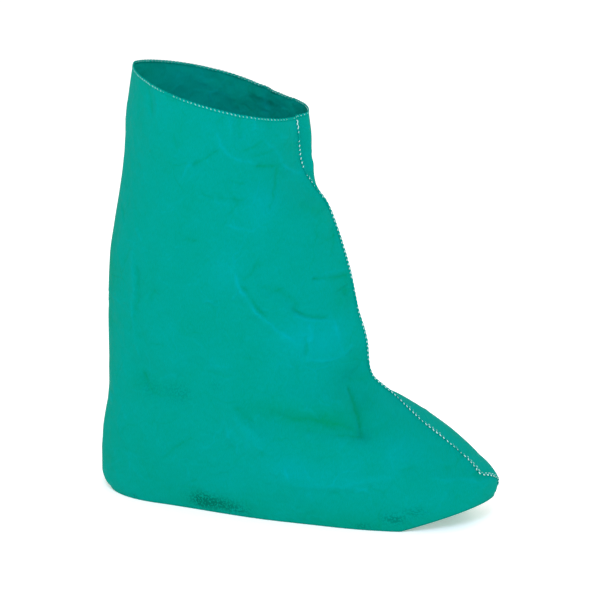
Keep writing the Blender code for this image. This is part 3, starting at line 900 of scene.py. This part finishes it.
threads = [
    wind_thread("front_seam_thread", front_edge, SEAM_TALL, SEAM_THICK, SEAM_STITCH,
                radius=0.42, proud=(0.4, -0.5), seed=21, node="front_seam"),
    wind_thread("collar_thread", collar_edge, COLLAR_TALL, COLLAR_THICK, COLLAR_STITCH,
                radius=0.2, proud=(-0.3, -0.3), seed=22, node="collar_edge"),
]

# %% [markdown]
# ## Wires between shader nodes
#
# A material is a graph of nodes. Drawn by hand it is clear, but written out node by node it is hard to read.
# This small class wraps one output of a node. Sums on wires add Math nodes, so a formula reads as a formula,
# and one method adds any other node with its settings and its sockets.

# %% A wire
class Wire:
    """One node's output. Plus, minus and times add Math nodes, with a number or another wire."""

    def __init__(self, tree, socket=None):
        self.tree = tree
        self.socket = socket

    def add(self, kind, settings=None, sockets=None, out=0):
        """New node of a kind: first its settings, then its sockets, each a value or a wire."""
        node = self.tree.nodes.new(kind)
        for name, value in (settings or {}).items():
            setattr(node, name, value)
        for name, value in (sockets or {}).items():
            if isinstance(value, Wire):
                self.tree.links.new(value.socket, node.inputs[name])
            else:
                node.inputs[name].default_value = value
        return Wire(self.tree, node.outputs[out])

    def maths(self, operation, first, second=0.0, clamp=False):
        return self.add("ShaderNodeMath", {"operation": operation, "use_clamp": clamp}, {0: first, 1: second})

    def __add__(self, other):
        return self.maths("ADD", self, other)

    def __sub__(self, other):
        return self.maths("SUBTRACT", self, other)

    def __mul__(self, other):
        return self.maths("MULTIPLY", self, other)

    def __rsub__(self, other):
        return self.maths("SUBTRACT", other, self)

    __radd__ = __add__

    def sine(self):
        return self.maths("SINE", self)

    def held(self):
        """Held between 0 and 1."""
        return self.maths("ADD", self, 0.0, clamp=True)

    def measured(self):
        """Both numbers of the cloth's UV map, as two wires."""
        place = self.add("ShaderNodeUVMap", {"uv_map": "measure"})
        return [self.add("ShaderNodeSeparateXYZ", None, {0: place}, out=axis) for axis in "XY"]

    def mix(self, first, second):
        """One colour into another, by this wire."""
        return self.add("ShaderNodeMix", {"data_type": "RGBA"}, {0: self, 6: first, 7: second}, out=2)


def make_look(name, paint, **constants):
    """Material whose changing sockets come from a painting function, and the other ones are constants."""
    look = bpy.data.materials.new(name)
    look.use_nodes = True
    tree = look.node_tree
    shader = tree.nodes["Principled BSDF"]
    for socket, value in constants.items():
        shader.inputs[socket.replace("_", " ")].default_value = value
    for socket, wire in paint(Wire(tree)).items():
        tree.links.new(wire.socket, shader.inputs[socket])
    print("material", name, "has", len(tree.nodes), "nodes")
    return look


# %% [markdown]
# ## Nonwoven cloth
#
# The cloth is a web of fine plastic fibres, pressed together by a roller that leaves a lattice of small
# bonded points. Seen close it has fibres in all directions, shallow dots under two millimetres apart, and
# cloudy patches where the web is thicker. Over that, crests of sharp creases get a painted highlight, paler
# and bluer, and hollows a painted shade, deeper and greener. The lattice follows the panel through the UV
# map. Clouds and fibres come from noise.
# A bump is enough for the dots, because they are a tenth of a millimetre deep.

# %% Cloth material
BOND_PITCH = 0.0026
WRINKLE = 0.0016
LIGHT_TEAL = (0.0, 0.319, 0.318, 1.0)
DEEP_TEAL = (0.0, 0.219, 0.081, 1.0)
# dark green of the speckled painted shade
SPECKLED_SHADE_GREEN = (0.0, 0.115, 0.075, 1.0)


def bonded_points(start):
    """Lattice of dots: the sine across times the sine up, high at the corners of a leaning square."""
    across, up = start.measured()
    wave = 2.0 * np.pi / BOND_PITCH
    return ((across * wave).sine() * (up * wave).sine()).held()


def fibres(start, lean):
    """Streaks of noise: the coordinates are turned, then squeezed along one way."""
    panel = start.add("ShaderNodeUVMap", {"uv_map": "measure"})
    turned = start.add("ShaderNodeMapping", None, {"Vector": panel, "Rotation": (0.0, 0.0, lean),
                                                   "Scale": (1500.0, 260.0, 1.0)})
    return start.add("ShaderNodeTexNoise", {"noise_dimensions": "2D"},
                     {"Vector": turned, "Scale": 1.0, "Detail": 2.0})


def bent_panel(start, size):
    """Place on the panel, pushed about by noise of a size, so that what is drawn there has bent edges."""
    panel = start.add("ShaderNodeUVMap", {"uv_map": "measure"})
    bend = start.add("ShaderNodeTexNoise", {"noise_dimensions": "2D"},
                     {"Vector": panel, "Scale": 1.2 / size}, out="Color")
    return start.add("ShaderNodeVectorMath", {"operation": "MULTIPLY_ADD"},
                     {0: bend, 1: (0.8 * size, 0.8 * size, 0.0), 2: panel})


def wrinkles(start, size):
    """Net of thin creases: nearness to the edges of bent cells.

    Slow noise less a half makes a crease a crest here and a trough there, and lets it vanish in between.
    """
    bent = bent_panel(start, size)
    cells = start.add("ShaderNodeTexVoronoi", {"voronoi_dimensions": "2D", "feature": "DISTANCE_TO_EDGE"},
                      {"Vector": bent, "Scale": 1.0 / size})
    crest = start.add("ShaderNodeTexNoise", {"noise_dimensions": "2D"},
                      {"Vector": bent, "Scale": 0.9 / size, "Detail": 1.0})
    return (1.0 - cells * (size / WRINKLE)).held() * (crest - 0.5) * 3.0


def facets(start, size):
    """Crumpled facets: the distance to the nearest of scattered points, which breaks at their edges."""
    return start.add("ShaderNodeTexVoronoi", {"voronoi_dimensions": "2D"},
                     {"Vector": bent_panel(start, size), "Scale": 1.0 / size})


def paint_cloth(start):
    """Teal from deep to light by clouds, fibres and dots, painted light and shade by folds, with speckled
    painted shade over it.
    """
    place = start.add("ShaderNodeTexCoord", out="Object")
    cloud = start.add("ShaderNodeTexNoise", None,
                      {"Vector": place, "Scale": 24.0, "Detail": 8.0, "Roughness": 0.62})
    grit = start.add("ShaderNodeTexNoise", None, {"Vector": place, "Scale": 600.0, "Detail": 2.0})
    spots = start.add("ShaderNodeTexNoise", None, {"Vector": place, "Scale": 540.0, "Detail": 1.0})
    fold, painted_light_and_shade, speckled_shade_amount = (start.add("ShaderNodeAttribute", {"attribute_name": name}, out="Fac")
                          for name in ("fold", "painted_light_and_shade", "speckled_shade"))
    dots = bonded_points(start)
    web = fibres(start, 0.6) + fibres(start, -0.7)
    net = wrinkles(start, 0.034) + wrinkles(start, 0.015) * 0.6
    # fold and net paint highlight on the crests of creases and shade in their hollows
    tone = (0.542 + (cloud - 0.5) * 0.29 + (web - 1.0) * 0.27 + fold * 0.3
            + painted_light_and_shade * 0.7 + net * 0.14 - dots * 0.04)
    # the tone between the two teals also carries the broad painted light and painted shade
    teal = tone.held().mix(DEEP_TEAL, LIGHT_TEAL)
    # speckled painted shade near the floor and in the heel hollow, mixed towards a dark green
    speckle = ((spots - 0.5 + speckled_shade_amount * 0.09) * 12.0).held() * speckled_shade_amount.held()
    height = (web * 0.35 - dots * 0.55 + grit * 0.25 + net * 1.2
              + facets(start, 0.03) * 12.0 + facets(start, 0.012) * 4.0)
    return {
        "Base Color": (speckle * 0.85).mix(teal, SPECKLED_SHADE_GREEN),
        "Roughness": 0.72 + web * 0.06,
        "Normal": start.add("ShaderNodeBump", None, {"Strength": 0.6, "Distance": 0.00025, "Height": height}),
    }


cloth_look = make_look(
    "nonwoven_teal", paint_cloth, Specular_IOR_Level=0.02, Specular_Tint=(0.0, 0.9, 0.8, 1.0),
)
for piece in (left_panel, right_panel, sole, seam_fin, collar_fin):
    piece.data.materials.append(cloth_look)


# %% Thread material
THREAD_DEEP = (0.46, 0.80, 0.75, 1.0)
THREAD_PALE = (0.74, 0.93, 0.89, 1.0)


def paint_thread(start):
    """Pale green yarn with plies that wind round it: a sine of the length plus the way round, as a bump."""
    length, around = start.measured()
    ply = (length * 7500.0 + around * 6200.0).sine() * 0.5 + 0.5
    return {
        "Base Color": ply.mix(THREAD_DEEP, THREAD_PALE),
        "Roughness": 0.55 + ply * 0.12,
        "Normal": start.add("ShaderNodeBump", None, {"Strength": 0.6, "Distance": 0.0002, "Height": ply}),
    }


thread_look = make_look("overlock_thread", paint_thread, Specular_IOR_Level=0.3)
for piece in threads:
    piece.data.materials.append(thread_look)

# %% [markdown]
# ## Floor and light
#
# A product picture like this has no visible horizon: floor and background are both white, and only a soft
# shadow at the sole tells where the floor is. A large soft light comes from above the camera. It is a cool
# one, so that what turns away from it looks greener as well as darker. A weak fill lights the back fold,
# another the toe's far side, and the white surroundings do the rest. The floor's paper is a little warm,
# against the cool light, and glows a little, as a lit table does, so that it stays white.

# %% Floor
FLOOR = 40.0
PAPER = ((0.97, 0.93, 0.91, 1.0), (0.98, 0.945, 0.925, 1.0))
PAPER_GLOW = (1.0, 0.96, 0.95, 1.0)
floor_mesh = bpy.data.meshes.new("floor")
floor_mesh.from_pydata(
    [(-FLOOR, -FLOOR, 0.0), (FLOOR, -FLOOR, 0.0), (FLOOR, FLOOR, 0.0), (-FLOOR, FLOOR, 0.0)],
    [], [(0, 1, 2, 3)],
)
floor = bpy.data.objects.new("floor", floor_mesh)
bpy.context.scene.collection.objects.link(floor)


def paint_floor(start):
    """Pale paper with a hardly visible cloud."""
    place = start.add("ShaderNodeTexCoord", out="Object")
    cloud = start.add("ShaderNodeTexNoise", None, {"Vector": place, "Scale": 3.0})
    return {"Base Color": cloud.mix(*PAPER)}


floor_mesh.materials.append(make_look(
    "pale_paper", paint_floor, Roughness=0.9, Specular_IOR_Level=0.1,
    Emission_Color=PAPER_GLOW, Emission_Strength=0.32,
))

# %% Lights
world = bpy.data.worlds.new("studio")
world.use_nodes = True
background = world.node_tree.nodes["Background"]
background.inputs["Color"].default_value = (1.0, 1.0, 1.0, 1.0)
background.inputs["Strength"].default_value = 0.78
bpy.context.scene.world = world
bpy.context.scene.view_settings.view_transform = "Standard"


def soft_light(name, place, size, watts, colour):
    """Square area light at a place, turned to face the middle of the cover."""
    lamp = bpy.data.lights.new(name, "AREA")
    lamp.shape = "SQUARE"
    lamp.color = colour
    lamp.size = size
    lamp.energy = watts
    light = bpy.data.objects.new(name, lamp)
    light.location = place
    light.rotation_mode = "QUATERNION"
    light.rotation_quaternion = (VIEW_CENTRE - Vector(place)).to_track_quat("-Z", "Y")
    bpy.context.scene.collection.objects.link(light)
    return light


soft_light("key", (0.55, -1.75, 1.75), 0.8, 30.0, (0.6, 0.72, 1.0))
soft_light("fill", (-2.2, -0.7, 1.0), 1.0, 8.0, (1.0, 1.0, 1.0))
soft_light("far", (1.3, 1.5, 1.5), 1.0, 12.0, (1.0, 1.0, 1.0))
